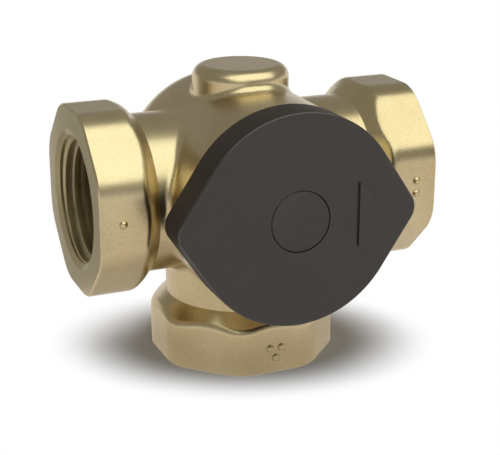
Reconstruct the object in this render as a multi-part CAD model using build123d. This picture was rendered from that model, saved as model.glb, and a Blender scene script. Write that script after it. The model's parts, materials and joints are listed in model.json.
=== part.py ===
from build123d import *
import math
import os

# A three-port mixing valve. The three port axes meet on the valve's centre line, which
# runs from front (-Y) to back (+Y). All sizes are in millimetres. Pieces are drawn about
# the point where the axes meet and are raised by AXIS_HEIGHT when they are written.

# Casting, outside
FACE_TO_FACE = 93.0            # left port face to right port face
AXIS_HEIGHT = 46.7             # bottom port face to the port axes
COLLAR_FLATS = 48.2            # eight-sided collar, across its flats
COLLAR_CORNER = 11.5           # rounding of the collar's eight corners
COLLAR_SHOULDER = 30.0         # where the collar's cone leaves the neck, from the axes
COLLAR_EDGE = 3.2              # soft edge between cone and flats
COLLAR_FACE_EDGE = 0.4         # broken edge round the port face
NECK_R = 20.8
BARREL_R = 27.45               # round centre, about the front-to-back line, at its widest
BARREL_DRAFT = 0.8             # degrees that it narrows towards the front
BARREL_FRONT = 28.8            # its front face, forward of the axes
BARREL_BACK = 30.3             # its back, behind the axes
BARREL_DOME = 15.7             # rounding of its back edge
BARREL_FRONT_EDGE = 0.3
NECK_BLEND = 2.4               # hollow between neck and barrel
BOSS_R = 12.75                 # blank boss on top
BOSS_TOP = 32.0                # its top above the axes
BOSS_EDGE = 3.3
BOSS_FOOT = 2.4

# Raised dots that number the ports
DOT_R = 1.1
DOT_RISE = 0.85                # how far a dot stands off its flat
DOT_FROM_AXES = 40.6           # one and two dots, along the port
DOT_PAIR_PITCH = 3.5
DOT_TRIO_PITCH = 3.24
DOT_TRIO_Z = -40.5             # middle of the three dots on the bottom port

# Port threads, modelled at their root diameter (Rp 1)
THREAD_R = 16.62
THREAD_DEPTH = 19.0
THREAD_RUNOUT = 1.8            # cone from thread root to passage
MOUTH_R = 18.3                 # countersink at the thread's mouth
MOUTH_DEPTH = 0.9
PASSAGE_R = 13.0

# Chambers in the casting, from front to back
PLUG_THREAD_R = 20.0           # service opening's thread, root radius
PLUG_THREAD_DEPTH = 8.8
CAGE_BORE_R = 18.0
FRONT_SEAT_Y = -4.5            # the front seat's sealing edge
PARTITION = 3.5                # casting wall that carries the rear seat ring
CHAMBER_R = 16.0               # middle and rear chambers
REAR_WALL_Y = 24.0
CORE_WALL = 2.5                # wall between a chamber and the duct beside it
DUCT_OUTER_R = 24.2
DUCT_HALF_ANGLE = 48.0
LEFT_DUCT_Y = (-3.0, 20.0)
RIGHT_DUCT_Y = (-18.0, 8.0)
OUTLET_HALF_WIDTH = 11.5       # slot from the middle chamber to the bottom port
SEAT_BORE_R = 12.3
SEAT_LIP = 1.1                 # width of a seat's sealing edge
SEAT_LIP_RISE = 0.9

# Fits
RUNNING = 0.05                 # radial clearance of sliding and turned fits
FACE_GAP = 0.05                # between faces that meet
EASY = 0.3                     # radial clearance where a piece only passes

# Front plug
PLUG_FLANGE_R = 22.6
PLUG_FLANGE = 2.4
PLUG_HEX = 32.0                # across flats
PLUG_HEX_HEIGHT = 4.8
POCKET_R = 8.6                 # pocket for the overtravel spring
POCKET_SPARE = 1.0             # left before the thrust cup at full overtravel
O_RING_WIRE = 2.0
O_RING_SQUEEZE = 0.85          # a seated ring's section, of its free one
O_RING_SIDES = 12

# Seat cage
CAGE_LENGTH_END = -20.0        # its front ring, against the plug
CAGE_WALL = 1.9
CAGE_FRONT_RING = 2.0
CAGE_REAR_RING = 5.4
CAGE_WINDOWS = 4
CAGE_PILLAR = 5.0
CAGE_HUB_R = 7.2
CAGE_HUB_Y = (-17.0, -11.0)
CAGE_SPOKE_Y = (-16.5, -13.5)
CAGE_SPOKE = 2.2

# Shuttle: disc, seals and wax element
STROKE = 7.0                   # shuttle's way from the front to the rear seat
DISC_R = 14.6
DISC = 2.4
SEAL = 0.8
SEAL_INNER_R = 11.4
SPRING_HUB_R = 9.2
HUB_END = 3.5                  # how far the hub reaches behind the disc
CUP_R = 8.0
CUP_WALL = 0.8
CUP_LENGTH = 14.0
COLLAR_R = 9.5                 # crimped collar of the cup
COLLAR_LIP = 0.6
COLLAR_LIP_R = 7.6
COLLAR_DEPTH = 4.6
DIAPHRAGM = 1.0
THROAT_R = 6.4                 # cone that gathers the wax's push
THROAT_DEPTH = 2.0
GUIDE_R = 5.0
GUIDE_TIP_Y = -21.5
PISTON_R = 2.5
PISTON_TIP_Y = -28.0
PLUG_SLUG = 3.0
WASHER = 0.8

# Overtravel pack in the plug
OVERTRAVEL = 3.0
THRUST_WALL = 0.8
THRUST_BORE_R = 5.5
THRUST_FLANGE_Y = -21.9
SNAP_RING = 0.9
SNAP_RING_WIDTH = 1.6
SNAP_RING_BITE = 0.7           # how far the ring reaches into its groove
OVERTRAVEL_WIRE = 1.4
OVERTRAVEL_TURNS = 4
RETURN_WIRE = 1.6
RETURN_MEAN_R = 10.4
RETURN_TURNS = 5
SPRING_RUNS = 12               # straight runs to one turn of a spring
SPRING_GROUND = 0.25           # share of the wire that is ground away at an end

# Cap
CAP_R = 27.3
CAP_TIP = 31.8                 # a point's end, from the middle
CAP_TIP_R = 5.2
CAP_LIFT = 0.2                 # between its open rim and the casting
CAP_DEPTH = 9.7                # from open rim to front face
CAP_WALL = 2.0
CAP_TOP = 2.2
CAP_EDGE = 0.4
CAP_SOCKET_WALL = 1.8
CAP_SOCKET_DEPTH = 4.2
CAP_GRIP = 0.1                 # clearance between socket and hexagon
CAP_RIBS = 8
CAP_RIB = 1.2
CAP_RIB_HEIGHT = 3.2
DISH_R = 7.95                  # recess for the disc in the cap's front
DISH_RECESS = 1.3
DISH_GAP = 0.2
DISH_SAG = 0.9                 # how far the disc is dished
DISH_PEG_R = 2.0
DISH_PEG_END = 0.3             # how far the peg comes out behind the cap's top
ARROW_BASE_X = 15.7
ARROW_TIP_X = 24.0
ARROW_HALF = 8.4
ARROW_RISE = 0.7

HALF_FACE = FACE_TO_FACE / 2
DISC_FRONT_Y = FRONT_SEAT_Y + FACE_GAP + SEAL
DISC_BACK_Y = DISC_FRONT_Y + DISC
REAR_SEAT_Y = DISC_BACK_Y + SEAL + STROKE + FACE_GAP
PLUG_INNER_Y = CAGE_LENGTH_END - FACE_GAP
PLUG_SEAT_Y = -BARREL_FRONT - FACE_GAP
POCKET_FLOOR_Y = PISTON_TIP_Y - FACE_GAP - THRUST_WALL - OVERTRAVEL - POCKET_SPARE
CUP_FRONT_Y = DISC_FRONT_Y - FACE_GAP - CUP_WALL
DUCT_INNER_R = CHAMBER_R + CORE_WALL
CAP_BACK = BARREL_FRONT + CAP_LIFT
CAP_FRONT = CAP_BACK + CAP_DEPTH


def turned(*points):
    """Turn a closed outline of (radius, y) points about the front-to-back line."""
    return revolve(make_face(Polyline(*points, close=True)), Axis.Y)


def ring(inner_r, outer_r, y0, y1):
    """A plain ring or tube about the front-to-back line."""
    return turned((inner_r, y0), (outer_r, y0), (outer_r, y1), (inner_r, y1))


def rod(radius, y0, y1):
    """A plain round bar on the front-to-back line."""
    return turned((0, y0), (radius, y0), (radius, y1), (0, y1))


def facing_front(sketch, y):
    """Set a sketch on the plane at y, looking forward."""
    return Plane.XZ.offset(-y) * sketch


def edges_at(shape, y, radius):
    """The round edges of a turned piece at one place along it and one radius."""
    rims = shape.edges().filter_by(GeomType.CIRCLE)
    return rims.filter_by(lambda e: abs(e.center().Y - y) < 0.01 and abs(e.radius - radius) < 0.01)


def o_ring(groove_r, y):
    """A seated O-ring, pressed flat against the groove's bottom and the bore round it."""
    height = O_RING_WIRE * O_RING_SQUEEZE
    section = RegularPolygon(height / 2, O_RING_SIDES, major_radius=False)
    section = Rot(0, 0, 180 / O_RING_SIDES) * section
    return revolve(Pos(groove_r + height / 2, y) * section, Axis.Y)


def coil_spring(mean_r, wire, turns, y0, y1):
    """A compression spring along the front-to-back line, its ends ground flat."""
    length = y1 - y0
    ground = SPRING_GROUND * wire
    rise = length + 2 * ground
    runs = round(turns * SPRING_RUNS)
    corner_r = mean_r / math.sqrt(math.cos(math.pi / SPRING_RUNS))
    points = []
    for i in range(runs + 1):
        angle = 2 * math.pi * i / SPRING_RUNS
        points.append((corner_r * math.cos(angle), corner_r * math.sin(angle), rise * i / runs))
    path = Polyline(*points)
    section = Plane(origin=path @ 0, z_dir=path % 0) * Circle(wire / 2)
    coil = sweep(section, path=path, transition=Transition.RIGHT)
    slab = Pos(0, 0, ground) * Cylinder(mean_r + wire, length, align=(Align.CENTER, Align.CENTER, Align.MIN))
    return Pos(0, y1 + ground, 0) * Rot(90, 0, 0) * (coil & slab)


def octagon_prism(height):
    """The collar's eight-sided bar, flats square to the valve, with soft corners."""
    outline = RegularPolygon(COLLAR_FLATS / 2, 8, major_radius=False)
    if abs(outline.bounding_box().size.X - COLLAR_FLATS) > 0.01:
        outline = Rot(0, 0, 22.5) * outline
    outline = fillet(outline.vertices(), COLLAR_CORNER)
    return extrude(outline, height)


def port_collar(reach):
    """One port's collar, standing along +Z from its cone to the face at reach."""
    cone_r = COLLAR_FLATS
    prism = Pos(0, 0, COLLAR_SHOULDER) * octagon_prism(reach - COLLAR_SHOULDER)
    cone_outline = Polyline(
        (0, COLLAR_SHOULDER),
        (NECK_R, COLLAR_SHOULDER),
        (NECK_R + cone_r, COLLAR_SHOULDER + cone_r),
        (0, COLLAR_SHOULDER + cone_r),
        close=True,
    )
    cone = revolve(Plane.XZ * make_face(cone_outline), Axis.Z)
    collar = prism & cone
    face_edges = collar.faces().sort_by(Axis.Z)[-1].edges()
    collar = chamfer(face_edges, COLLAR_FACE_EDGE)
    cone_face = [f for f in collar.faces() if f.geom_type == GeomType.CONE][0]
    rim = [e for e in cone_face.edges() if e.center().Z > COLLAR_SHOULDER + 1]
    return fillet(rim, COLLAR_EDGE)


def barrel():
    """The round centre of the casting: drafted towards the front, domed at the back."""
    slope = math.tan(math.radians(BARREL_DRAFT))
    back_r = BARREL_R + BARREL_DOME * slope
    front_r = back_r - (BARREL_BACK + BARREL_FRONT) * slope
    outline = turned(
        (0, -BARREL_FRONT),
        (front_r - BARREL_FRONT_EDGE, -BARREL_FRONT),
        (front_r, -BARREL_FRONT + BARREL_FRONT_EDGE),
        (back_r, BARREL_BACK),
        (0, BARREL_BACK),
    )
    return fillet(edges_at(outline, BARREL_BACK, back_r), BARREL_DOME)


def boss():
    """The blank boss on top."""
    foot = BARREL_R / 2
    post = Pos(0, 0, foot) * Cylinder(BOSS_R, BOSS_TOP - foot, align=(Align.CENTER, Align.CENTER, Align.MIN))
    return fillet(post.edges().group_by(Axis.Z)[-1], BOSS_EDGE)


def dots():
    """The raised dots: one on the left port, two on the right, three on the bottom."""
    flat_y = -COLLAR_FLATS / 2
    trio_r = DOT_TRIO_PITCH / math.sqrt(3)
    places = [(-DOT_FROM_AXES, 0)]
    places += [(DOT_FROM_AXES, side * DOT_PAIR_PITCH / 2) for side in (-1, 1)]
    for angle in (-90, 30, 150):
        turn = math.radians(angle)
        places.append((trio_r * math.cos(turn), DOT_TRIO_Z + trio_r * math.sin(turn)))
    sunk = DOT_R - DOT_RISE
    return [Pos(x, flat_y + sunk, z) * Sphere(DOT_R) for x, z in places]


def casting_outside():
    """The casting's outer form, with the hollows where its bars run together."""
    to_left = Rot(0, -90, 0)
    to_right = Rot(0, 90, 0)
    to_bottom = Rot(180, 0, 0)
    inside_collar = HALF_FACE - 2
    neck = Cylinder(NECK_R, inside_collar, align=(Align.CENTER, Align.CENTER, Align.MIN))
    body = barrel()
    for turn in (to_left, to_right, to_bottom):
        body += turn * neck
    body = blend_necks(body)
    body += boss()
    body = blend_boss(body)
    for turn, reach in ((to_left, HALF_FACE), (to_right, HALF_FACE), (to_bottom, AXIS_HEIGHT)):
        body += turn * port_collar(reach)
    return body


def blend_necks(body):
    """Fill the hollows between the three necks and the barrel."""
    seams = [e for e in body.edges() if is_neck_seam(e)]
    return fillet(seams, NECK_BLEND)


def is_neck_seam(edge):
    """Whether an edge lies where a neck runs into the barrel or into its neighbour."""
    if edge.geom_type in (GeomType.LINE, GeomType.CIRCLE):
        return False
    middle = edge.position_at(0.5)
    return max(abs(middle.X), abs(middle.Z)) < COLLAR_SHOULDER - 1


def blend_boss(body):
    """Fill the hollow round the boss's foot."""
    foot = [e for e in body.edges() if is_boss_foot(e)]
    return fillet(foot, BOSS_FOOT)


def is_boss_foot(edge):
    """Whether an edge is the seam between boss and barrel."""
    middle = edge.position_at(0.5)
    near_boss = abs(math.hypot(middle.X, middle.Y) - BOSS_R) < 0.05
    return near_boss and middle.Z > 0 and middle.Z < BOSS_TOP - BOSS_EDGE - 0.05 and edge.geom_type != GeomType.LINE


def port_bore(reach, inner_end):
    """The tapped bore of one port along +Z, down to the closed end of its passage."""
    root = reach - THREAD_DEPTH
    outline = Polyline(
        (0, inner_end),
        (PASSAGE_R, inner_end),
        (PASSAGE_R, root - THREAD_RUNOUT),
        (THREAD_R, root),
        (THREAD_R, reach - MOUTH_DEPTH),
        (MOUTH_R, reach),
        (MOUTH_R, reach + 1),
        (0, reach + 1),
        close=True,
    )
    return revolve(Plane.XZ * make_face(outline), Axis.Z)


def duct(middle_angle, y_range):
    """A kidney-shaped duct beside the chambers, between two radii about the centre line."""
    y0, y1 = y_range
    sector = ring(DUCT_INNER_R, DUCT_OUTER_R, y0, y1)
    reach = DUCT_OUTER_R * 2
    half = math.radians(DUCT_HALF_ANGLE)
    wedge = Polyline((0, 0), (reach, -reach * math.tan(half)), (reach, reach * math.tan(half)), close=True)
    wedge = extrude(Plane.XZ * make_face(wedge), y1 - y0, both=True)
    return Rot(0, middle_angle, 0) * (sector & (Pos(0, (y0 + y1) / 2, 0) * wedge))


def casting_inside():
    """Everything that is cored or machined out of the casting."""
    left_end = CAGE_BORE_R + CORE_WALL
    right_end = DUCT_INNER_R
    bottom_end = CAGE_BORE_R + CORE_WALL
    hollow = [
        Rot(0, -90, 0) * port_bore(HALF_FACE, left_end),
        Rot(0, 90, 0) * port_bore(HALF_FACE, right_end),
        Rot(180, 0, 0) * port_bore(AXIS_HEIGHT, bottom_end),
        rod(PLUG_THREAD_R, -BARREL_FRONT - 1, -BARREL_FRONT + PLUG_THREAD_DEPTH),
        rod(CAGE_BORE_R, -BARREL_FRONT, FRONT_SEAT_Y),
        rod(CHAMBER_R, FRONT_SEAT_Y, REAR_SEAT_Y + SEAT_LIP_RISE),
        rod(seat_ring_r() + RUNNING, REAR_SEAT_Y, rear_partition_end()),
        rear_chamber(),
        duct(180, LEFT_DUCT_Y),
        duct(0, RIGHT_DUCT_Y),
        duct_window(180, rear_partition_end() + 1, LEFT_DUCT_Y[1]),
        duct_window(0, RIGHT_DUCT_Y[0], FRONT_SEAT_Y - CAGE_REAR_RING),
        outlet_slot(bottom_end),
    ]
    return hollow


def seat_ring_r():
    """Outer radius of the rear seat ring."""
    return SEAT_BORE_R + SEAT_LIP + 0.6


def rear_partition_end():
    """The rear partition's far side."""
    return REAR_SEAT_Y + SEAT_LIP_RISE + PARTITION


def rear_chamber():
    """The rear chamber, with the low spigot that centres the return spring."""
    spigot_r = RETURN_MEAN_R - RETURN_WIRE / 2 - EASY
    spigot = 1.5
    return turned(
        (0, rear_partition_end()),
        (CHAMBER_R, rear_partition_end()),
        (CHAMBER_R, REAR_WALL_Y),
        (spigot_r, REAR_WALL_Y),
        (spigot_r, REAR_WALL_Y - spigot),
        (0, REAR_WALL_Y - spigot),
    )


def duct_window(middle_angle, y0, y1):
    """The opening from a duct into the chamber beside it."""
    inner = CHAMBER_R - 1
    outer = DUCT_INNER_R + 1
    half_height = DUCT_INNER_R * math.sin(math.radians(DUCT_HALF_ANGLE)) - 2
    block = Box(outer - inner * 0.7, y1 - y0, 2 * half_height, align=(Align.MIN, Align.MIN, Align.CENTER))
    return Rot(0, middle_angle, 0) * (Pos(inner * 0.7, y0, 0) * block)


def outlet_slot(bottom_end):
    """The slot from the middle chamber down into the bottom port."""
    y0 = FRONT_SEAT_Y + FACE_GAP
    y1 = REAR_SEAT_Y
    return Pos(0, y0, -bottom_end - 1) * Box(
        2 * OUTLET_HALF_WIDTH, y1 - y0, bottom_end - 4, align=(Align.CENTER, Align.MIN, Align.MIN)
    )


def valve_body():
    """The whole casting."""
    body = casting_outside()
    for hollow in casting_inside():
        body -= hollow
    for dot in dots():
        body += dot
    return body


def front_plug():
    """The brass plug: thread, flange, hexagon head and the pocket for the overtravel pack."""
    head_y = PLUG_SEAT_Y - PLUG_FLANGE
    thread_r = PLUG_THREAD_R - RUNNING
    groove_r = thread_r - O_RING_WIRE * O_RING_SQUEEZE
    groove_y = PLUG_SEAT_Y + O_RING_WIRE + 0.4
    body = turned(
        (0, head_y),
        (PLUG_FLANGE_R - 0.8, head_y),
        (PLUG_FLANGE_R, head_y + 0.8),
        (PLUG_FLANGE_R, PLUG_SEAT_Y),
        (groove_r, PLUG_SEAT_Y),
        (groove_r, groove_y),
        (thread_r, groove_y),
        (thread_r, PLUG_INNER_Y - 1),
        (thread_r - 1, PLUG_INNER_Y),
        (0, PLUG_INNER_Y),
    )
    hexagon = RegularPolygon(PLUG_HEX / 2, 6, major_radius=False)
    head = extrude(facing_front(hexagon, head_y), PLUG_HEX_HEIGHT)
    crown = PLUG_HEX / 2 / math.cos(math.radians(30))
    crown_cut = turned(
        (0, head_y + 1),
        (crown + 1, head_y + 1),
        (crown + 1, head_y - PLUG_HEX_HEIGHT + 1.2),
        (crown - 1.2, head_y - PLUG_HEX_HEIGHT - 0.01),
        (0, head_y - PLUG_HEX_HEIGHT - 0.01),
    )
    body += head & crown_cut
    body -= rod(POCKET_R, POCKET_FLOOR_Y, PLUG_INNER_Y + 1)
    groove_r = POCKET_R + SNAP_RING_BITE
    body -= ring(POCKET_R - 1, groove_r, snap_ring_y() - FACE_GAP, snap_ring_y() + SNAP_RING + FACE_GAP)
    return body


def snap_ring_y():
    """Front side of the snap ring, just behind the thrust cup's flange."""
    return THRUST_FLANGE_Y + FACE_GAP


def plug_o_ring():
    """The seal under the plug's flange."""
    thread_r = PLUG_THREAD_R - RUNNING
    groove_r = thread_r - O_RING_WIRE * O_RING_SQUEEZE
    return o_ring(groove_r, PLUG_SEAT_Y + O_RING_WIRE / 2 + 0.2)


def seat_cage():
    """The moulded cage: front ring, pillars, hub on spokes and the rear ring with its seat."""
    outer_r = CAGE_BORE_R - RUNNING
    inner_r = outer_r - CAGE_WALL
    rear_y = FRONT_SEAT_Y - CAGE_REAR_RING
    cage = ring(inner_r, outer_r, CAGE_LENGTH_END, rear_y + 0.5)
    cage += turned(
        (SEAT_BORE_R, rear_y),
        (outer_r, rear_y),
        (outer_r, FRONT_SEAT_Y - SEAT_LIP_RISE),
        (SEAT_BORE_R + SEAT_LIP + SEAT_LIP_RISE, FRONT_SEAT_Y - SEAT_LIP_RISE),
        (SEAT_BORE_R + SEAT_LIP, FRONT_SEAT_Y),
        (SEAT_BORE_R, FRONT_SEAT_Y),
    )
    groove_r = outer_r - O_RING_WIRE * O_RING_SQUEEZE
    cage -= ring(groove_r, outer_r + 1, cage_groove_y() - 1.25, cage_groove_y() + 1.25)
    window_y0 = CAGE_LENGTH_END + CAGE_FRONT_RING
    window_length = rear_y - window_y0
    chord = outer_r * math.sqrt(2) - CAGE_PILLAR
    window = Box(outer_r + 1, window_length, chord, align=(Align.MIN, Align.MIN, Align.CENTER))
    for index in range(CAGE_WINDOWS):
        cage -= Rot(0, index * 360 / CAGE_WINDOWS, 0) * (Pos(inner_r * 0.6, window_y0, 0) * window)
    cage += ring(GUIDE_R + RUNNING, CAGE_HUB_R, *CAGE_HUB_Y)
    spoke_y0, spoke_y1 = CAGE_SPOKE_Y
    spoke = Box(
        inner_r + 0.5 - (CAGE_HUB_R - 0.5), spoke_y1 - spoke_y0, CAGE_SPOKE, align=(Align.MIN, Align.MIN, Align.CENTER)
    )
    for index in range(CAGE_WINDOWS):
        turn = 45 + index * 360 / CAGE_WINDOWS
        cage += Rot(0, turn, 0) * (Pos(CAGE_HUB_R - 0.5, spoke_y0, 0) * spoke)
    return cage


def cage_groove_y():
    """Middle of the cage's O-ring groove."""
    return FRONT_SEAT_Y - CAGE_REAR_RING / 2 - 0.4


def cage_o_ring():
    """The seal round the cage."""
    groove_r = CAGE_BORE_R - RUNNING - O_RING_WIRE * O_RING_SQUEEZE
    return o_ring(groove_r, cage_groove_y())


def rear_seat_ring():
    """The ring pressed into the rear partition, with its sealing edge towards the disc."""
    outer_r = seat_ring_r()
    return turned(
        (SEAT_BORE_R, REAR_SEAT_Y),
        (SEAT_BORE_R + SEAT_LIP, REAR_SEAT_Y),
        (outer_r, REAR_SEAT_Y + SEAT_LIP_RISE),
        (outer_r, rear_partition_end() - 0.4),
        (outer_r - 0.4, rear_partition_end()),
        (SEAT_BORE_R, rear_partition_end()),
    )


def shuttle_plate():
    """The disc with its hub: the element's collar sits in front, the return spring behind."""
    bore_r = CUP_R + RUNNING
    rib_r = SEAL_INNER_R - FACE_GAP
    return turned(
        (bore_r, DISC_FRONT_Y),
        (rib_r, DISC_FRONT_Y),
        (rib_r, DISC_FRONT_Y - SEAL / 2),
        (SEAL_INNER_R, DISC_FRONT_Y - SEAL / 2),
        (SEAL_INNER_R, DISC_FRONT_Y),
        (DISC_R, DISC_FRONT_Y),
        (DISC_R, DISC_BACK_Y),
        (SPRING_HUB_R, DISC_BACK_Y),
        (SPRING_HUB_R - 0.4, DISC_BACK_Y + HUB_END),
        (bore_r, DISC_BACK_Y + HUB_END),
    )


def front_seat_seal():
    """The flat seal that meets the front seat."""
    return ring(SEAL_INNER_R + FACE_GAP, DISC_R, DISC_FRONT_Y - SEAL, DISC_FRONT_Y)


def rear_seat_seal():
    """The flat seal that meets the rear seat."""
    return ring(SEAL_INNER_R + FACE_GAP, DISC_R, DISC_BACK_Y, DISC_BACK_Y + SEAL)


def element_cup():
    """The element's brass cup, flared at its front into the collar that is crimped over."""
    back_y = CUP_FRONT_Y + CUP_WALL + CUP_LENGTH
    lip_y = CUP_FRONT_Y - COLLAR_DEPTH
    cup = turned(
        (0, back_y),
        (CUP_R, back_y),
        (CUP_R, CUP_FRONT_Y + CUP_WALL),
        (COLLAR_R, CUP_FRONT_Y + CUP_WALL),
        (COLLAR_R, lip_y),
        (COLLAR_LIP_R, lip_y),
        (COLLAR_LIP_R, lip_y + COLLAR_LIP),
        (COLLAR_R - COLLAR_LIP, lip_y + COLLAR_LIP),
        (COLLAR_R - COLLAR_LIP, CUP_FRONT_Y),
        (CUP_R - CUP_WALL, CUP_FRONT_Y),
        (CUP_R - CUP_WALL, back_y - CUP_WALL),
        (0, back_y - CUP_WALL),
    )
    cup = fillet(edges_at(cup, back_y, CUP_R), 1.6)
    return chamfer(edges_at(cup, lip_y, COLLAR_R), 0.4)


def wax_charge():
    """The wax that fills the cup."""
    back_y = CUP_FRONT_Y + CUP_WALL + CUP_LENGTH - CUP_WALL
    return rod(CUP_R - CUP_WALL - FACE_GAP, CUP_FRONT_Y + FACE_GAP, back_y - FACE_GAP)


def diaphragm_y():
    """Front face of the diaphragm's flat rim."""
    return CUP_FRONT_Y - FACE_GAP - DIAPHRAGM


def element_diaphragm():
    """The rubber diaphragm, whose middle fills the guide's throat."""
    front_y = diaphragm_y()
    return turned(
        (0, CUP_FRONT_Y - FACE_GAP),
        (COLLAR_R - COLLAR_LIP - FACE_GAP, CUP_FRONT_Y - FACE_GAP),
        (COLLAR_R - COLLAR_LIP - FACE_GAP, front_y),
        (THROAT_R - FACE_GAP, front_y),
        (PISTON_R - FACE_GAP, front_y - THROAT_DEPTH + FACE_GAP),
        (0, front_y - THROAT_DEPTH + FACE_GAP),
    )


def element_guide():
    """The brass guide: flange held by the crimp, throat, and the bore that the piston runs in."""
    flange_r = COLLAR_R - COLLAR_LIP - FACE_GAP
    back_y = diaphragm_y() - FACE_GAP
    flange_y = CUP_FRONT_Y - COLLAR_DEPTH + COLLAR_LIP + FACE_GAP
    bore_r = PISTON_R + RUNNING
    return turned(
        (THROAT_R, back_y),
        (flange_r, back_y),
        (flange_r, flange_y),
        (GUIDE_R, flange_y),
        (GUIDE_R, GUIDE_TIP_Y + 0.6),
        (GUIDE_R - 0.6, GUIDE_TIP_Y),
        (bore_r, GUIDE_TIP_Y),
        (bore_r, back_y - THROAT_DEPTH),
    )


def slug_y():
    """Rear end of the rubber plug, at the diaphragm's tip."""
    return diaphragm_y() - THROAT_DEPTH - FACE_GAP


def rubber_plug():
    """The plug that carries the diaphragm's push to the piston."""
    return rod(PISTON_R, slug_y() - PLUG_SLUG, slug_y())


def backup_washer():
    """The hard washer that keeps the rubber plug behind the piston."""
    front_y = slug_y() - PLUG_SLUG - FACE_GAP
    return rod(PISTON_R, front_y - WASHER, front_y)


def element_piston():
    """The polished piston, from the washer to the bottom of the thrust cup."""
    back_y = slug_y() - PLUG_SLUG - 2 * FACE_GAP - WASHER
    piston = rod(PISTON_R, PISTON_TIP_Y, back_y)
    return fillet(edges_at(piston, PISTON_TIP_Y, PISTON_R), 0.6)


def thrust_cup():
    """The hat-shaped cup that takes the piston's thrust: brim on the snap ring, crown forward."""
    floor_y = PISTON_TIP_Y - FACE_GAP
    brim_y = THRUST_FLANGE_Y - THRUST_WALL
    crown_r = THRUST_BORE_R + THRUST_WALL
    return turned(
        (0, floor_y),
        (THRUST_BORE_R, floor_y),
        (THRUST_BORE_R, THRUST_FLANGE_Y),
        (POCKET_R - RUNNING, THRUST_FLANGE_Y),
        (POCKET_R - RUNNING, brim_y),
        (crown_r, brim_y),
        (crown_r, floor_y - THRUST_WALL + 0.6),
        (crown_r - 0.6, floor_y - THRUST_WALL),
        (0, floor_y - THRUST_WALL),
    )


def retaining_ring():
    """The open snap ring in the plug's pocket."""
    outer_r = POCKET_R + SNAP_RING_BITE - RUNNING
    loop = ring(outer_r - SNAP_RING_WIDTH, outer_r, snap_ring_y(), snap_ring_y() + SNAP_RING)
    gap = Box(outer_r + 1, SNAP_RING * 4, 3.0, align=(Align.MIN, Align.CENTER, Align.CENTER))
    return loop - Pos(0, snap_ring_y(), 0) * gap


def overtravel_spring():
    """The stiff spring between the pocket's floor and the thrust cup's brim."""
    mean_r = (THRUST_BORE_R + THRUST_WALL + POCKET_R) / 2
    return coil_spring(
        mean_r, OVERTRAVEL_WIRE, OVERTRAVEL_TURNS, POCKET_FLOOR_Y + FACE_GAP, THRUST_FLANGE_Y - THRUST_WALL - FACE_GAP
    )


def return_spring():
    """The spring between the rear wall and the disc."""
    return coil_spring(RETURN_MEAN_R, RETURN_WIRE, RETURN_TURNS, DISC_BACK_Y + FACE_GAP, REAR_WALL_Y - FACE_GAP)


def cap_outline(inset=0.0):
    """The cap's outline: a circle drawn out to a rounded point on each side."""
    tip_x = CAP_TIP - CAP_TIP_R
    edges = Circle(CAP_R).edges()
    for side in (-1, 1):
        edges += (Pos(side * tip_x, 0) * Circle(CAP_TIP_R)).edges()
    outline = make_hull(edges)
    return offset(outline, -inset) if inset else outline


def front_cap():
    """The moulded cap: pointed shell, hexagon socket on ribs, recess for the disc and arrow."""
    shell = extrude(facing_front(cap_outline(), -CAP_BACK), CAP_FRONT - CAP_BACK)
    shell = fillet(shell.faces().sort_by(Axis.Y)[0].edges(), CAP_EDGE)
    inside_y = -CAP_FRONT + CAP_TOP
    shell -= extrude(facing_front(cap_outline(CAP_WALL), -CAP_BACK), -inside_y - CAP_BACK)
    hexagon = RegularPolygon(PLUG_HEX / 2 + CAP_GRIP, 6, major_radius=False)
    socket_r = PLUG_HEX / 2 / math.cos(math.radians(30)) + CAP_SOCKET_WALL
    socket_y = inside_y + CAP_SOCKET_DEPTH
    socket = extrude(facing_front(Circle(socket_r) - hexagon, socket_y), CAP_SOCKET_DEPTH + 0.2)
    shell += socket
    rib_length = CAP_R - CAP_WALL + 0.3 - (socket_r - 0.3)
    rib = Box(rib_length, CAP_RIB_HEIGHT + 0.2, CAP_RIB, align=(Align.MIN, Align.MIN, Align.CENTER))
    for index in range(CAP_RIBS):
        turn = (index + 0.5) * 360 / CAP_RIBS
        shell += Rot(0, turn, 0) * (Pos(socket_r - 0.3, inside_y - 0.2, 0) * rib)
    shell -= rod(DISH_R, -CAP_FRONT - 1, -CAP_FRONT + DISH_RECESS)
    shell -= rod(DISH_PEG_R + RUNNING, -CAP_FRONT - 1, -CAP_FRONT + CAP_TOP + 1)
    return shell + arrow()


def arrow():
    """The raised arrow: a wedge, highest at its base and flush with the cap at its tip."""
    plan = Polyline((ARROW_BASE_X, -ARROW_HALF), (ARROW_TIP_X, 0), (ARROW_BASE_X, ARROW_HALF), close=True)
    block = extrude(facing_front(make_face(plan), -CAP_FRONT + 0.3), ARROW_RISE + 0.6)
    side = Polyline(
        (ARROW_BASE_X, -CAP_FRONT + 0.3),
        (ARROW_BASE_X, -CAP_FRONT - ARROW_RISE),
        (ARROW_TIP_X, -CAP_FRONT),
        (ARROW_TIP_X, -CAP_FRONT + 0.3),
        close=True,
    )
    return block & extrude(make_face(side), ARROW_HALF + 1, both=True)


def cap_disc():
    """The dished disc set in the cap's front, held by a peg."""
    rim_r = DISH_R - DISH_GAP
    seat_y = -CAP_FRONT + DISH_RECESS - FACE_GAP
    disc = rod(rim_r, -CAP_FRONT, seat_y)
    disc = chamfer(edges_at(disc, -CAP_FRONT, rim_r), 0.15)
    dish_r = (rim_r ** 2 + DISH_SAG ** 2) / (2 * DISH_SAG)
    disc -= Pos(0, -CAP_FRONT - dish_r + DISH_SAG, 0) * Sphere(dish_r)
    return disc + rod(DISH_PEG_R, seat_y - 0.2, -CAP_FRONT + CAP_TOP + DISH_PEG_END)


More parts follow.
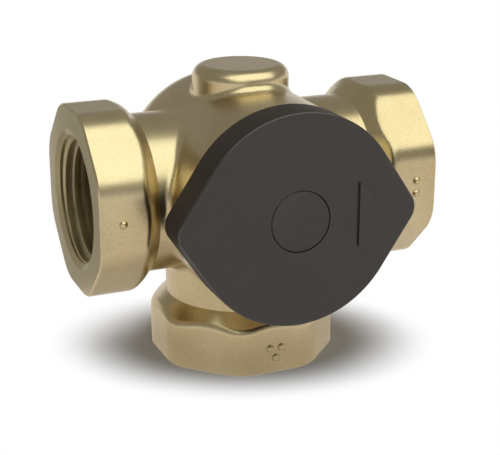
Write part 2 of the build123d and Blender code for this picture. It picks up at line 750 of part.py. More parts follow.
PIECES = {
    "valve_body": valve_body,
    "front_plug": front_plug,
    "plug_o_ring": plug_o_ring,
    "seat_cage": seat_cage,
    "cage_o_ring": cage_o_ring,
    "rear_seat_ring": rear_seat_ring,
    "shuttle_plate": shuttle_plate,
    "front_seat_seal": front_seat_seal,
    "rear_seat_seal": rear_seat_seal,
    "return_spring": return_spring,
    "element_cup": element_cup,
    "wax_charge": wax_charge,
    "element_diaphragm": element_diaphragm,
    "element_guide": element_guide,
    "rubber_plug": rubber_plug,
    "backup_washer": backup_washer,
    "element_piston": element_piston,
    "thrust_cup": thrust_cup,
    "overtravel_spring": overtravel_spring,
    "retaining_ring": retaining_ring,
    "front_cap": front_cap,
    "cap_disc": cap_disc,
}

os.makedirs("parts", exist_ok=True)
for name, build in PIECES.items():
    export_step(Pos(0, 0, AXIS_HEIGHT) * build(), f"parts/{name}.step")
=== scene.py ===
"""The looks of a three-port mixing valve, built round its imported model.

All coordinates are metres in the model's own frame: +Z up the bottom port's axis, -X and +X out of the
side ports, -Y towards the front cap. Sizes written in millimetres are turned into metres with MM.
"""

import json
import logging
import math
from dataclasses import dataclass, field
from enum import Enum

import bpy
import numpy as np
from mathutils import Matrix, Vector


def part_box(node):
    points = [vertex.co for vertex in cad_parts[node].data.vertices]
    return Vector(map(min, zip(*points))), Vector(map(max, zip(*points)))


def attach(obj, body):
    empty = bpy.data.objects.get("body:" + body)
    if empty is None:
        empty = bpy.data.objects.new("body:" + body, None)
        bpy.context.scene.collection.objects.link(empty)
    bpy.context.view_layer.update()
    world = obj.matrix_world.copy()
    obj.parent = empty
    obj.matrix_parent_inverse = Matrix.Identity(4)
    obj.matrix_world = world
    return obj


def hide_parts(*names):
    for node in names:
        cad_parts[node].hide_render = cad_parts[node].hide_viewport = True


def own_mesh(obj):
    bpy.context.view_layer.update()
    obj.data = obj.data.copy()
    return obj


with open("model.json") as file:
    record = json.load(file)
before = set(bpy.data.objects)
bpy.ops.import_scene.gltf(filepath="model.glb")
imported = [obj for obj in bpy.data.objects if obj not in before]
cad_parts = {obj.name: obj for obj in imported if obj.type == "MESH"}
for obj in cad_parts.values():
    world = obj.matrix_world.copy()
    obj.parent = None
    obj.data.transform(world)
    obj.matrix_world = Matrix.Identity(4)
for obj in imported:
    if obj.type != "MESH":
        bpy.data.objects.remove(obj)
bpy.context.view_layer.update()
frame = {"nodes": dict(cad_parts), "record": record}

MM = 0.001
AXIS_HEIGHT = 46.7 * MM
LOG = logging.getLogger("valve")

Color = tuple[float, float, float]
Point = tuple[float, float, float]
Range = tuple[float, float]

UNIT: Range = (0.0, 1.0)
NOISE: Range = (0.3, 0.7)            # nearly all of a noise lies between these
COLOR_MIX_INPUTS = (0, 6, 7)         # the Mix node's factor and its two colours
COLOR_MIX_OUTPUT = 2
LEAST_LENGTH = 1e-30                 # keeps a division by a length from failing


class Body(Enum):
    """The parts of the valve that move apart from each other."""

    VALVE = "valve"
    SHUTTLE = "shuttle"
    THRUST_PACK = "thrust_pack"
    CAP = "cap"


class Port(Enum):
    """The three threaded ports: where each one points, and how far out its face is."""

    LEFT = ("left", (-1.0, 0.0, 0.0), 46.5 * MM)
    RIGHT = ("right", (1.0, 0.0, 0.0), 46.5 * MM)
    BOTTOM = ("bottom", (0.0, 0.0, -1.0), AXIS_HEIGHT)

    def __init__(self, label: str, outward: Point, reach: float) -> None:
        """Keep the port's name, direction and distance.

        Args:
            label: the port's side in words.
            outward: unit vector out of the port.
            reach: distance from where the port axes meet to the port's face, in metres.
        """
        self.label = label
        self.outward = Vector(outward)
        self.reach = reach


def add_object(name: str, data: bpy.types.ID) -> bpy.types.Object:
    """Put a new object in the scene.

    Args:
        name: the object's name.
        data: its mesh, lamp or camera.

    Returns:
        The new object, at the origin.
    """
    made = bpy.data.objects.new(name, data)
    bpy.context.scene.collection.objects.link(made)
    return made


def around(middle: float, spread: float) -> Range:
    """The range from spread below middle to spread above it."""
    return middle - spread, middle + spread


class Nodes:
    """A node tree, with short calls that add nodes and join them."""

    def __init__(self, tree: bpy.types.NodeTree) -> None:
        """Start with an empty tree.

        Args:
            tree: the tree to build in.
        """
        self.tree = tree
        self.tree.nodes.clear()

    def node(self, kind: str, **values: object) -> bpy.types.Node:
        """Add a node and set its inputs.

        Args:
            kind: Blender's node type.
            **values: an input's name, spaces as underscores, and its number, colour or socket.

        Returns:
            The new node.
        """
        made = self.tree.nodes.new(kind)
        for key, value in values.items():
            self.put(made.inputs[key.replace("_", " ")], value)
        return made

    def put(self, socket: bpy.types.NodeSocket, value: object) -> None:
        """Set a socket to a number or colour, or join another node's output to it.

        Args:
            socket: the input.
            value: what it gets.
        """
        if isinstance(value, bpy.types.NodeSocket):
            self.tree.links.new(value, socket)
        elif isinstance(value, tuple) and len(value) == 3 and socket.type == "RGBA":
            socket.default_value = (*value, 1.0)
        else:
            socket.default_value = value

    def math(self, operation: str, *values: object) -> bpy.types.NodeSocket:
        """Do one sum on numbers or sockets.

        Args:
            operation: the Math node's operation.
            *values: its inputs in order.

        Returns:
            The result's socket.
        """
        made = self.node("ShaderNodeMath")
        made.operation = operation
        for socket, value in zip(made.inputs, values):
            self.put(socket, value)
        return made.outputs["Value"]

    def distance(self, first: bpy.types.NodeSocket, second: bpy.types.NodeSocket) -> bpy.types.NodeSocket:
        """Distance from the line where both coordinates are nought.

        Args:
            first: one coordinate.
            second: the other.

        Returns:
            The distance's socket.
        """
        squares = self.math("ADD", self.math("POWER", first, 2.0), self.math("POWER", second, 2.0))
        return self.math("SQRT", squares)

    def either(self, mask: bpy.types.NodeSocket, off: object, on: object) -> bpy.types.NodeSocket:
        """Take one of two numbers.

        Args:
            mask: 0 for the first, 1 for the second.
            off: the first, a number or socket.
            on: the second, a number or socket.

        Returns:
            The chosen number's socket.
        """
        first = self.math("MULTIPLY", off, self.math("SUBTRACT", 1.0, mask))
        return self.math("ADD", first, self.math("MULTIPLY", on, mask))

    def span(self, value: bpy.types.NodeSocket, start: Range, end: tuple[object, object] = UNIT,
             smooth: bool = False) -> bpy.types.NodeSocket:
        """Map a value from one range to another, held at the ends.

        Args:
            value: the socket to map.
            start: the value's range.
            end: the result's range, in numbers or sockets.
            smooth: whether the step is eased.

        Returns:
            The mapped socket.
        """
        made = self.node("ShaderNodeMapRange")
        made.interpolation_type = "SMOOTHSTEP" if smooth else "LINEAR"
        for socket, number in zip(made.inputs, (value, *start, *end)):
            self.put(socket, number)
        return made.outputs["Result"]

    def blend(self, factor: object, first: object, second: object) -> bpy.types.NodeSocket:
        """Mix two colours.

        Args:
            factor: share of the second, a number or socket.
            first: a colour or socket.
            second: a colour or socket.

        Returns:
            The mixed colour's socket.
        """
        made = self.node("ShaderNodeMix")
        made.data_type = "RGBA"
        for index, value in zip(COLOR_MIX_INPUTS, (factor, first, second)):
            self.put(made.inputs[index], value)
        return made.outputs[COLOR_MIX_OUTPUT]

    def scaled(self, color: bpy.types.NodeSocket, factor: bpy.types.NodeSocket) -> bpy.types.NodeSocket:
        """Make a colour lighter or darker.

        Args:
            color: the colour's socket.
            factor: what it is multiplied by.

        Returns:
            The changed colour's socket.
        """
        made = self.node("ShaderNodeVectorMath")
        made.operation = "SCALE"
        self.put(made.inputs[0], color)
        self.put(made.inputs["Scale"], factor)
        return made.outputs["Vector"]


class Shader(Nodes):
    """A material's node tree."""

    def __init__(self, name: str) -> None:
        """Start an empty material.

        Args:
            name: the finish's plain name.
        """
        self.material = bpy.data.materials.new(name)
        self.material.use_nodes = True
        super().__init__(self.material.node_tree)
        self.position = self.node("ShaderNodeTexCoord").outputs["Object"]

    def noise(self, size_mm: float, detail: float) -> bpy.types.NodeSocket:
        """Noise whose lumps have a real size.

        Args:
            size_mm: width of a lump in millimetres.
            detail: how many finer layers it has.

        Returns:
            The noise's socket, from 0 to 1.
        """
        scale = 1.0 / (size_mm * MM)
        made = self.node("ShaderNodeTexNoise", Scale=scale, Detail=detail, Vector=self.position)
        return made.outputs["Fac"]

    def rings(self, distance: bpy.types.NodeSocket, feed_mm: float) -> bpy.types.NodeSocket:
        """The wave that a lathe tool leaves.

        Args:
            distance: how far the tool has come.
            feed_mm: how far it comes in one turn, in millimetres.

        Returns:
            The wave's socket, from -1 to 1.
        """
        return self.math("SINE", self.math("MULTIPLY", distance, 2 * math.pi / (feed_mm * MM)))

    def bump(self, height: bpy.types.NodeSocket, depth_mm: float, strength: float,
             under: bpy.types.NodeSocket | None = None) -> bpy.types.NodeSocket:
        """Raise a height pattern a real distance.

        Args:
            height: the pattern.
            depth_mm: how far a height of 1 stands up, in millimetres.
            strength: how much of it shows.
            under: an earlier bump that this one lies on.

        Returns:
            The bent normal's socket.
        """
        made = self.node("ShaderNodeBump", Height=height, Distance=depth_mm * MM, Strength=strength)
        if under is not None:
            self.put(made.inputs["Normal"], under)
        return made.outputs["Normal"]

    def close(self, surface: bpy.types.NodeSocket) -> bpy.types.Material:
        """Close the tree with any surface.

        Args:
            surface: the surface's socket.

        Returns:
            The finished material.
        """
        self.node("ShaderNodeOutputMaterial", Surface=surface)
        return self.material

    def finish(self, **values: object) -> bpy.types.Material:
        """Close the tree with a Principled surface.

        Args:
            **values: the surface's inputs.

        Returns:
            The finished material.
        """
        return self.close(self.node("ShaderNodeBsdfPrincipled", **values).outputs["BSDF"])


@dataclass(frozen=True)
class CastingBrass:
    """Blasted cast brass, with turned faces and bores at the ports."""

    light: Color = (0.60, 0.502, 0.315)
    dark: Color = (0.53, 0.432, 0.255)
    turned: Color = (0.58, 0.49, 0.31)
    speckle: Range = (0.86, 1.07)
    grain_mm: float = 0.30
    grain_depth_mm: float = 0.020
    grain_strength: float = 0.8
    lump_mm: float = 3.5
    lump_depth_mm: float = 0.03
    lump_strength: float = 0.6
    patch_mm: float = 22.0
    patch_edges: Range = (0.35, 0.65)
    roughness: float = 0.27
    rough_spread: float = 0.03
    turned_roughness: float = 0.30
    smoothed: float = 0.8            # how much of the blasted texture the lathe takes off
    feed_mm: float = 0.18
    feed_depth_mm: float = 0.003
    feed_strength: float = 0.5
    face_band: float = 0.25 * MM
    bore_r: float = 18.6 * MM
    bore_depth: float = 20.5 * MM

    def turned_zone(self, shader: Shader) -> tuple[bpy.types.NodeSocket, bpy.types.NodeSocket]:
        """Where the lathe has been: port faces and bores.

        Args:
            shader: the tree to add to.

        Returns:
            A mask that is 1 on turned metal, and the distance from that port's axis.
        """
        x, y, z = shader.node("ShaderNodeSeparateXYZ", Vector=shader.position).outputs
        side = shader.math("ABSOLUTE", x)
        side_r = shader.distance(y, shader.math("SUBTRACT", z, AXIS_HEIGHT))
        low_r = shader.distance(x, y)
        side_face = shader.math("GREATER_THAN", side, Port.LEFT.reach - self.face_band)
        low_face = shader.math("LESS_THAN", z, self.face_band)
        far_out = shader.math("GREATER_THAN", side, Port.LEFT.reach - self.bore_depth)
        side_bore = shader.math("MULTIPLY", far_out, shader.math("LESS_THAN", side_r, self.bore_r))
        low_down = shader.math("LESS_THAN", z, self.bore_depth)
        low_bore = shader.math("MULTIPLY", low_down, shader.math("LESS_THAN", low_r, self.bore_r))
        side_zone = shader.math("MAXIMUM", side_face, side_bore)
        low_zone = shader.math("MAXIMUM", low_face, low_bore)
        from_axis = shader.either(low_zone, side_r, low_r)
        return shader.math("MAXIMUM", side_zone, low_zone), from_axis

    def material(self) -> bpy.types.Material:
        """Make the material.

        Returns:
            The casting's finish.
        """
        shader = Shader("blasted_cast_brass")
        zone, from_axis = self.turned_zone(shader)
        patches = shader.noise(self.patch_mm, detail=3.0)
        grain = shader.noise(self.grain_mm, detail=3.0)
        skin = shader.blend(shader.span(patches, self.patch_edges), self.dark, self.light)
        speckle = shader.span(grain, NOISE, self.speckle)
        tint = shader.scaled(shader.blend(zone, skin, self.turned), speckle)
        cast_rough = shader.span(patches, NOISE, around(self.roughness, self.rough_spread))
        rough = shader.either(zone, cast_rough, self.turned_roughness)
        rings = shader.math("MULTIPLY", shader.rings(from_axis, self.feed_mm), zone)
        rings_normal = shader.bump(rings, self.feed_depth_mm, self.feed_strength)
        cast = shader.math("SUBTRACT", 1.0, shader.math("MULTIPLY", zone, self.smoothed))
        lumps = shader.math("MULTIPLY", shader.noise(self.lump_mm, detail=1.0), cast)
        lump_normal = shader.bump(lumps, self.lump_depth_mm, self.lump_strength, rings_normal)
        grains = shader.math("MULTIPLY", grain, cast)
        normal = shader.bump(grains, self.grain_depth_mm, self.grain_strength, lump_normal)
        return shader.finish(Base_Color=tint, Metallic=1.0, Roughness=rough, Normal=normal)


@dataclass(frozen=True)
class TurnedMetal:
    """Bar metal turned on a lathe: fine rings about the front-to-back line."""

    name: str
    light: Color
    dark: Color
    roughness: float
    rough_spread: float = 0.04
    cloud_mm: float = 6.0
    feed_mm: float = 0.15
    feed_depth_mm: float = 0.002
    feed_strength: float = 0.5

    def material(self) -> bpy.types.Material:
        """Make the material.

        Returns:
            The turned finish.
        """
        shader = Shader(self.name)
        x, y, z = shader.node("ShaderNodeSeparateXYZ", Vector=shader.position).outputs
        radius = shader.distance(x, shader.math("SUBTRACT", z, AXIS_HEIGHT))
        rings = shader.rings(shader.math("ADD", radius, y), self.feed_mm)
        cloud = shader.noise(self.cloud_mm, detail=3.0)
        color = shader.blend(shader.span(cloud, NOISE), self.dark, self.light)
        rough = shader.span(cloud, NOISE, around(self.roughness, self.rough_spread))
        normal = shader.bump(rings, self.feed_depth_mm, self.feed_strength)
        return shader.finish(Base_Color=color, Metallic=1.0, Roughness=rough, Normal=normal)


@dataclass(frozen=True)
class Moulding:
    """A moulded or moulded-looking soft finish with a fine sparked grain."""

    name: str
    light: Color
    dark: Color
    roughness: float
    rough_spread: float = 0.03
    gloss: float = 0.5
    grain_mm: float = 0.16
    grain_depth_mm: float = 0.006
    grain_strength: float = 0.6
    patch_mm: float = 14.0

    def material(self) -> bpy.types.Material:
        """Make the material.

        Returns:
            The moulded finish.
        """
        shader = Shader(self.name)
        patches = shader.noise(self.patch_mm, detail=2.0)
        grain = shader.noise(self.grain_mm, detail=2.0)
        color = shader.blend(shader.span(patches, NOISE), self.dark, self.light)
        rough = shader.span(grain, NOISE, around(self.roughness, self.rough_spread))
        normal = shader.bump(grain, self.grain_depth_mm, self.grain_strength)
        return shader.finish(Base_Color=color, Roughness=rough, Specular_IOR_Level=self.gloss, Normal=normal)


CUT_THREAD = TurnedMetal("cut_thread", (0.58, 0.51, 0.36), (0.50, 0.43, 0.29), 0.36)
# the cap's side: duller and rougher than the front, and its colour painted darker than the front's as shade
CAP_SIDE_PAINTED_SHADE = Moulding("cap_side_painted_shade", (0.026, 0.021, 0.018), (0.023, 0.018, 0.015), 0.55, gloss=0.14)
CAP_EDGE = Moulding("cap_edge", (0.040, 0.033, 0.029), (0.036, 0.030, 0.026), 0.20, gloss=0.7)
SLOT_FINISHES: dict[str, CastingBrass | TurnedMetal | Moulding] = {
    "cast_brass": CastingBrass(),
    "turned_brass": TurnedMetal("turned_brass", (0.66, 0.55, 0.30), (0.60, 0.49, 0.26), 0.24),
    "stainless": TurnedMetal("stainless", (0.60, 0.60, 0.58), (0.52, 0.52, 0.50), 0.26),
    "dark_moulding": Moulding("dark_moulding", (0.042, 0.035, 0.031), (0.037, 0.031, 0.027), 0.30),
    "black_rubber": Moulding("black_rubber", (0.022, 0.022, 0.021), (0.018, 0.018, 0.017), 0.6),
    "pale_composite": Moulding("pale_composite", (0.34, 0.33, 0.30), (0.30, 0.29, 0.26), 0.5),
    "wax": Moulding("wax", (0.80, 0.75, 0.62), (0.74, 0.69, 0.56), 0.5, grain_mm=0.8, grain_depth_mm=0.02),
}


class Finishes:
    """Every material on the valve: one for each slot in the record, and three that share a slot."""

    def __init__(self) -> None:
        """Make each material once."""
        self.cut_thread = CUT_THREAD.material()
        self.cap_side_painted_shade = CAP_SIDE_PAINTED_SHADE.material()
        self.cap_edge = CAP_EDGE.material()
        self.by_slot = {slot: finish.material() for slot, finish in SLOT_FINISHES.items()}

    def dress(self, piece: bpy.types.Object, slot: str) -> None:
        """Give a piece a slot's material all over.

        Args:
            piece: the mesh object.
            slot: the record's name of the slot.
        """
        piece.data.materials.clear()
        piece.data.materials.append(self.by_slot[slot])


@dataclass(frozen=True)
class JoinedMesh:
    """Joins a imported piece's separately meshed faces, so that those that run on smoothly look like one."""

    join_gap: float = 0.002 * MM
    smooth_angle: float = math.radians(24.0)
    flat_turn: float = math.radians(0.2)
    turn_floor: float = 1e-6         # keeps a point with no turn from outweighing all others
    least_normal: float = 1e-14      # a triangle with a shorter normal is a sliver, and left out

    def face_normals(self, points: np.ndarray, triangles: np.ndarray) -> np.ndarray:
        """Normals of the triangles, left at their full length, which is twice their area."""
        sides = points[triangles]
        return np.cross(sides[:, 1] - sides[:, 0], sides[:, 2] - sides[:, 0])

    def point_normals(self, points: np.ndarray, triangles: np.ndarray, flats: np.ndarray) -> np.ndarray:
        """Normals of the points, each within its own face of the model.

        Args:
            points: every point's place.
            triangles: the three points of every triangle.
            flats: every triangle's normal.

        Returns:
            A unit normal for every point.
        """
        unit = flats / np.maximum(np.linalg.norm(flats, axis=1, keepdims=True), LEAST_LENGTH)
        normals = np.zeros_like(points)
        for corner in range(3):
            here = points[triangles[:, corner]]
            ahead = points[triangles[:, (corner + 1) % 3]] - here
            behind = points[triangles[:, (corner + 2) % 3]] - here
            spread = np.linalg.norm(np.cross(ahead, behind), axis=1)
            angle = np.arctan2(spread, np.einsum("ij,ij->i", ahead, behind))
            np.add.at(normals, triangles[:, corner], unit * angle[:, None])
        return normals / np.maximum(np.linalg.norm(normals, axis=1, keepdims=True), LEAST_LENGTH)

    def turns(self, triangles: np.ndarray, normals: np.ndarray) -> np.ndarray:
        """How far the surface turns from each point to its neighbours, which tells how sure its normal is.

        Args:
            triangles: the three points of every triangle.
            normals: every point's normal.

        Returns:
            The largest turn at every point, in radians.
        """
        turn = np.zeros(len(normals))
        for corner in range(3):
            here, ahead = triangles[:, corner], triangles[:, (corner + 1) % 3]
            step = np.arccos(np.clip(np.einsum("ij,ij->i", normals[here], normals[ahead]), -1.0, 1.0))
            np.maximum.at(turn, here, step)
            np.maximum.at(turn, ahead, step)
        return turn

    def blended(self, group: list[int], normals: np.ndarray, turn: np.ndarray) -> dict[int, np.ndarray]:
        """Join the normals of points that lie in one place, where their faces run on smoothly.

        Args:
            group: the points that share a place.
            normals: every point's normal.
            turn: every point's turn.

        Returns:
            The joined normal of each point in the group.
        """
        sets: list[list[int]] = []
        for point in group:
            near = [
                other for other in sets
                if any(self.runs_on(point, member, normals, turn) for member in other)
            ]
            merged = [point] + [member for other in near for member in other]
            sets = [other for other in sets if other not in near] + [merged]
        joined: dict[int, np.ndarray] = {}
        for members in sets:
            weights = 1.0 / (turn[members] ** 2 + self.turn_floor)
            total = (normals[members] * weights[:, None]).sum(axis=0)
            for member in members:
                joined[member] = total / max(float(np.linalg.norm(total)), LEAST_LENGTH)
        return joined

    def runs_on(self, first: int, second: int, normals: np.ndarray, turn: np.ndarray) -> bool:
        """Whether two faces that meet at a point run on smoothly; two flat ones only do in one plane."""
        apart = math.acos(min(1.0, max(-1.0, float(normals[first] @ normals[second]))))
        both_flat = max(turn[first], turn[second]) < self.flat_turn
        return apart < (self.flat_turn * 2 if both_flat else self.smooth_angle)

    def build(self, name: str, source: bpy.types.Mesh) -> bpy.types.Mesh:
        """Make the joined mesh.

        Args:
            name: the new mesh's name.
            source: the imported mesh, which stays as it is.

        Returns:
            The new mesh, with a normal of its own at every corner.
        """
        source.calc_loop_triangles()
        points = np.empty(len(source.vertices) * 3)
        source.vertices.foreach_get("co", points)
        points = points.reshape(-1, 3)
        triangles = np.empty(len(source.loop_triangles) * 3, dtype=np.int32)
        source.loop_triangles.foreach_get("vertices", triangles)
        triangles = triangles.reshape(-1, 3)
        flats = self.face_normals(points, triangles)
        triangles = triangles[np.linalg.norm(flats, axis=1) > self.least_normal]
        normals = self.point_normals(points, triangles, self.face_normals(points, triangles))
        turn = self.turns(triangles, normals)
        cells = np.round(points / self.join_gap)
        _, first, place = np.unique(cells, axis=0, return_index=True, return_inverse=True)
        place = place.reshape(-1)
        shared: dict[int, list[int]] = {}
        for point in np.unique(triangles):
            shared.setdefault(int(place[point]), []).append(int(point))
        for group in shared.values():
            if len(group) > 1:
                for point, normal in self.blended(group, normals, turn).items():
                    normals[point] = normal
        faces = place[triangles]
        whole = (faces[:, 0] != faces[:, 1]) & (faces[:, 1] != faces[:, 2]) & (faces[:, 2] != faces[:, 0])
        mesh = bpy.data.meshes.new(name)
        mesh.from_pydata(points[first].tolist(), [], faces[whole].tolist())
        mesh.shade_smooth()
        mesh.normals_split_custom_set(normals[triangles[whole]].reshape(-1, 3).tolist())
        return mesh


@dataclass(frozen=True)
class CapDress:
    """The front cap's finishes: a satin front, a polished rounding along its edge, and a dull side whose
    colour is painted darker than the front's as shade.
    """

    node: str = "front_cap"
    arrow_rise: float = 0.7 * MM
    rounding: float = 0.43 * MM
    front_facing: float = math.cos(math.radians(6.0))

    def dress(self, piece: bpy.types.Object, finishes: Finishes) -> None:
        """Give the faces of the side and of the rounding their own finish.

        Args:
            piece: the cap, in its front's finish all over.
            finishes: every finish.
        """
        # the side takes the finish whose colour is painted darker as shade
        side = len(piece.data.materials)
        piece.data.materials.append(finishes.cap_side_painted_shade)
        edge = len(piece.data.materials)
        piece.data.materials.append(finishes.cap_edge)
        edge_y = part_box(self.node)[0].y + self.arrow_rise + self.rounding
        for polygon in piece.data.polygons:
            if -polygon.normal.y < self.front_facing:
                polygon.material_index = edge if polygon.center.y < edge_y else side


@dataclass
class Skins:
    """Joined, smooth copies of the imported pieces, each in its own place and finish."""

    finishes: Finishes
    joiner: JoinedMesh = JoinedMesh()
    cap_dress: CapDress = CapDress()
    made: list[bpy.types.Object] = field(default_factory=list)

    def build(self, skip: set[str]) -> None:
        """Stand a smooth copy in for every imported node, on the node's own body.

        Args:
            skip: nodes that another class makes.
        """
        slots = {part["node"]: part["material_slot"] for part in frame["record"]["subparts"]}
        bodies = frame["record"]["behaviour"]["bodies"]
        for body in (member.value for member in Body):
            for node in bodies[body]:
                if node in skip:
                    continue
                mesh = self.joiner.build(f"{node}_skin", frame["nodes"][node].data)
                piece = add_object(f"{node}_skin", mesh)
                self.finishes.dress(piece, slots[node])
                if node == self.cap_dress.node:
                    self.cap_dress.dress(piece, self.finishes)
                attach(piece, body)
                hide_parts(node)
                self.made.append(piece)


class Sweep(Nodes):
    """A Geometry Nodes tree that winds a section into a helix along Z."""

    sharp_angle: float = math.radians(30.0)

    def __init__(self, name: str, numbers: tuple[str, ...], counts: tuple[str, ...]) -> None:
        """Start the tree, with an input for the material and one for each size.

        Args:
            name: the tree's name.
            numbers: names of the inputs that take any number.
            counts: names of the inputs that take a whole number.
        """
        super().__init__(bpy.data.node_groups.new(name, "GeometryNodeTree"))
        self.tree.interface.new_socket("Geometry", in_out="OUTPUT", socket_type="NodeSocketGeometry")
        kinds = {
            **dict.fromkeys(numbers, "NodeSocketFloat"),
            **dict.fromkeys(counts, "NodeSocketInt"),
            "Material": "NodeSocketMaterial",
        }
        self.inputs: dict[str, str] = {}
        for key, kind in kinds.items():
            socket = self.tree.interface.new_socket(key, in_out="INPUT", socket_type=kind)
            self.inputs[key] = socket.identifier
        self.entry = self.tree.nodes.new("NodeGroupInput")
        self.exit = self.tree.nodes.new("NodeGroupOutput")

    def of(self, name: str) -> bpy.types.NodeSocket:
        """The socket that a named input comes in by."""
        return self.entry.outputs[name]

    def helix(self, radius: str, rise: bpy.types.NodeSocket) -> bpy.types.NodeSocket:
        """Wind a line round Z, by the inputs Steps and Turns.

        Args:
            radius: name of the input that gives its radius.
            rise: how high it climbs in all.

        Returns:
            The line's socket.
        """
        line = self.node(
            "GeometryNodeCurveSpiral",
            Resolution=self.of("Steps"),
            Rotations=self.of("Turns"),
            Start_Radius=self.of(radius),
            End_Radius=self.of(radius),
            Height=rise,
            Reverse=True,
        )
        return line.outputs["Curve"]

    def close(self, geometry: bpy.types.NodeSocket) -> None:
        """End the tree: real geometry, in its material.

        Args:
            geometry: the socket to end with.
        """
        real = self.node("GeometryNodeRealizeInstances", Geometry=geometry)
        dressed = self.node("GeometryNodeSetMaterial", Geometry=real.outputs[0], Material=self.of("Material"))
        self.put(self.exit.inputs[0], dressed.outputs[0])

    def run(self, name: str, values: dict[str, object], place: Matrix) -> bpy.types.Object:
        """Run the tree with these sizes and keep the result as a plain mesh.

        Args:
            name: the new piece's name.
            values: each named input's value.
            place: where the piece goes, put into its mesh.

        Returns:
            The new piece, at the origin.
        """
        piece = add_object(name, bpy.data.meshes.new(name))
        winding = piece.modifiers.new("winding", "NODES")
        winding.node_group = self.tree
        for key, value in values.items():
            winding[self.inputs[key]] = value
        graph = bpy.context.evaluated_depsgraph_get()
        mesh = bpy.data.meshes.new_from_object(piece.evaluated_get(graph), depsgraph=graph)
        piece.modifiers.remove(winding)
        mesh.transform(place)
        mesh.shade_smooth()
        mesh.set_sharp_from_angle(angle=self.sharp_angle)
        piece.data = mesh
        return piece


@dataclass
class PortThreads:
    """The inside threads of the three ports: a ridge wound up each bore, run out at both ends."""

    finishes: Finishes
    root_r: float = 16.66 * MM
    crest_r: float = 15.15 * MM
    pitch: float = 2.309 * MM
    foot_share: float = 0.93         # widths of the ridge's foot and crest, as shares of the pitch
    crest_share: float = 0.16
    start: float = 0.95 * MM
    depth: float = 18.4 * MM
    steps: int = 72
    run_in_turns: float = 1.0
    run_out_turns: float = 0.4
    first_angle: float = math.radians(160.0)
    made: list[bpy.types.Object] = field(default_factory=list)

    def growth(self, sweep: Sweep) -> bpy.types.NodeSocket:
        """How full the ridge is along its line: it runs in from nothing and out again.

        Args:
            sweep: the tree to add to.

        Returns:
            The ridge's share of its full size.
        """
        along = sweep.node("GeometryNodeSplineParameter").outputs["Factor"]
        turns_in = sweep.math("MULTIPLY", along, sweep.of("Turns"))
        turns_left = sweep.math("SUBTRACT", sweep.of("Turns"), turns_in)
        run_in = sweep.math("DIVIDE", turns_in, sweep.of("Run In"))
        run_out = sweep.math("DIVIDE", turns_left, sweep.of("Run Out"))
        return sweep.math("MINIMUM", sweep.math("MINIMUM", run_in, run_out), 1.0)

    def ridge(self, sweep: Sweep) -> bpy.types.NodeSocket:
        """The ridge's section, with its foot on the line and its crest towards the port's axis.

        Args:
            sweep: the tree to add to.

        Returns:
            The section's curve.
        """
        height = sweep.math("SUBTRACT", sweep.of("Root Radius"), sweep.of("Crest Radius"))
        ridge = sweep.node("GeometryNodeCurvePrimitiveQuadrilateral")
        ridge.mode = "TRAPEZOID"
        for key, value in (
            ("Bottom Width", sweep.math("MULTIPLY", sweep.of("Pitch"), self.foot_share)),
            ("Top Width", sweep.math("MULTIPLY", sweep.of("Pitch"), self.crest_share)),
            ("Height", height),
            ("Offset", 0.0),
        ):
            sweep.put(ridge.inputs[key], value)
        lift = sweep.node("ShaderNodeCombineXYZ", Y=sweep.math("MULTIPLY", height, 0.5))
        foot = sweep.node(
            "GeometryNodeTransform", Geometry=ridge.outputs["Curve"], Translation=lift.outputs[0]
        )
        quarter_turn = (0.0, 0.0, math.pi / 2)
        turned = sweep.node("GeometryNodeTransform", Geometry=foot.outputs[0], Rotation=quarter_turn)
        return turned.outputs[0]

    def tree(self) -> Sweep:
        """Build the thread's tree.

        Returns:
            The sweep, ready to run.
        """
        sweep = Sweep(
            "pipe_thread",
            numbers=("Root Radius", "Crest Radius", "Pitch", "Turns", "Run In", "Run Out"),
            counts=("Steps",),
        )
        rise = sweep.math("MULTIPLY", sweep.of("Pitch"), sweep.of("Turns"))
        upright = sweep.node("GeometryNodeSetCurveNormal", Curve=sweep.helix("Root Radius", rise))
        upright.mode = "Z_UP"
        grown = self.growth(sweep)
        sized = sweep.node("GeometryNodeSetCurveRadius", Curve=upright.outputs[0], Radius=grown)
        wound = sweep.node(
            "GeometryNodeCurveToMesh",
            Curve=sized.outputs[0],
            Profile_Curve=self.ridge(sweep),
            Scale=grown,
            Fill_Caps=True,
        )
        sweep.close(wound.outputs["Mesh"])
        return sweep

    def build(self) -> None:
        """Wind the thread up each port's bore."""
        sweep = self.tree()
        values = {
            "Root Radius": self.root_r,
            "Crest Radius": self.crest_r,
            "Pitch": self.pitch,
            "Turns": (self.depth - self.start) / self.pitch,
            "Run In": self.run_in_turns,
            "Run Out": self.run_out_turns,
            "Steps": self.steps,
            "Material": self.finishes.cut_thread,
        }
        middle = Vector((0.0, 0.0, AXIS_HEIGHT))
        for port in Port:
            inwards = (-port.outward).to_track_quat("Z", "Y").to_matrix().to_4x4()
            mouth = Matrix.Translation(middle + port.outward * (port.reach - self.start))
            place = mouth @ inwards @ Matrix.Rotation(self.first_angle, 4, "Z")
            piece = sweep.run(f"{port.label}_port_thread", values, place)
            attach(piece, Body.VALVE.value)
            self.made.append(piece)


@dataclass(frozen=True)
class SpringSize:
    """One coil spring on the front-to-back line: its wire and winding, and the joint that shortens it."""

    node: str
    mean_r: float
    wire: float
    turns: float
    joint: str
    travel: float
    fixed_at_back: bool

    def ends(self) -> tuple[float, float]:
        """The spring's fixed and moving end along Y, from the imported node."""
        front, back = (corner.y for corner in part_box(self.node))
        return (back, front) if self.fixed_at_back else (front, back)


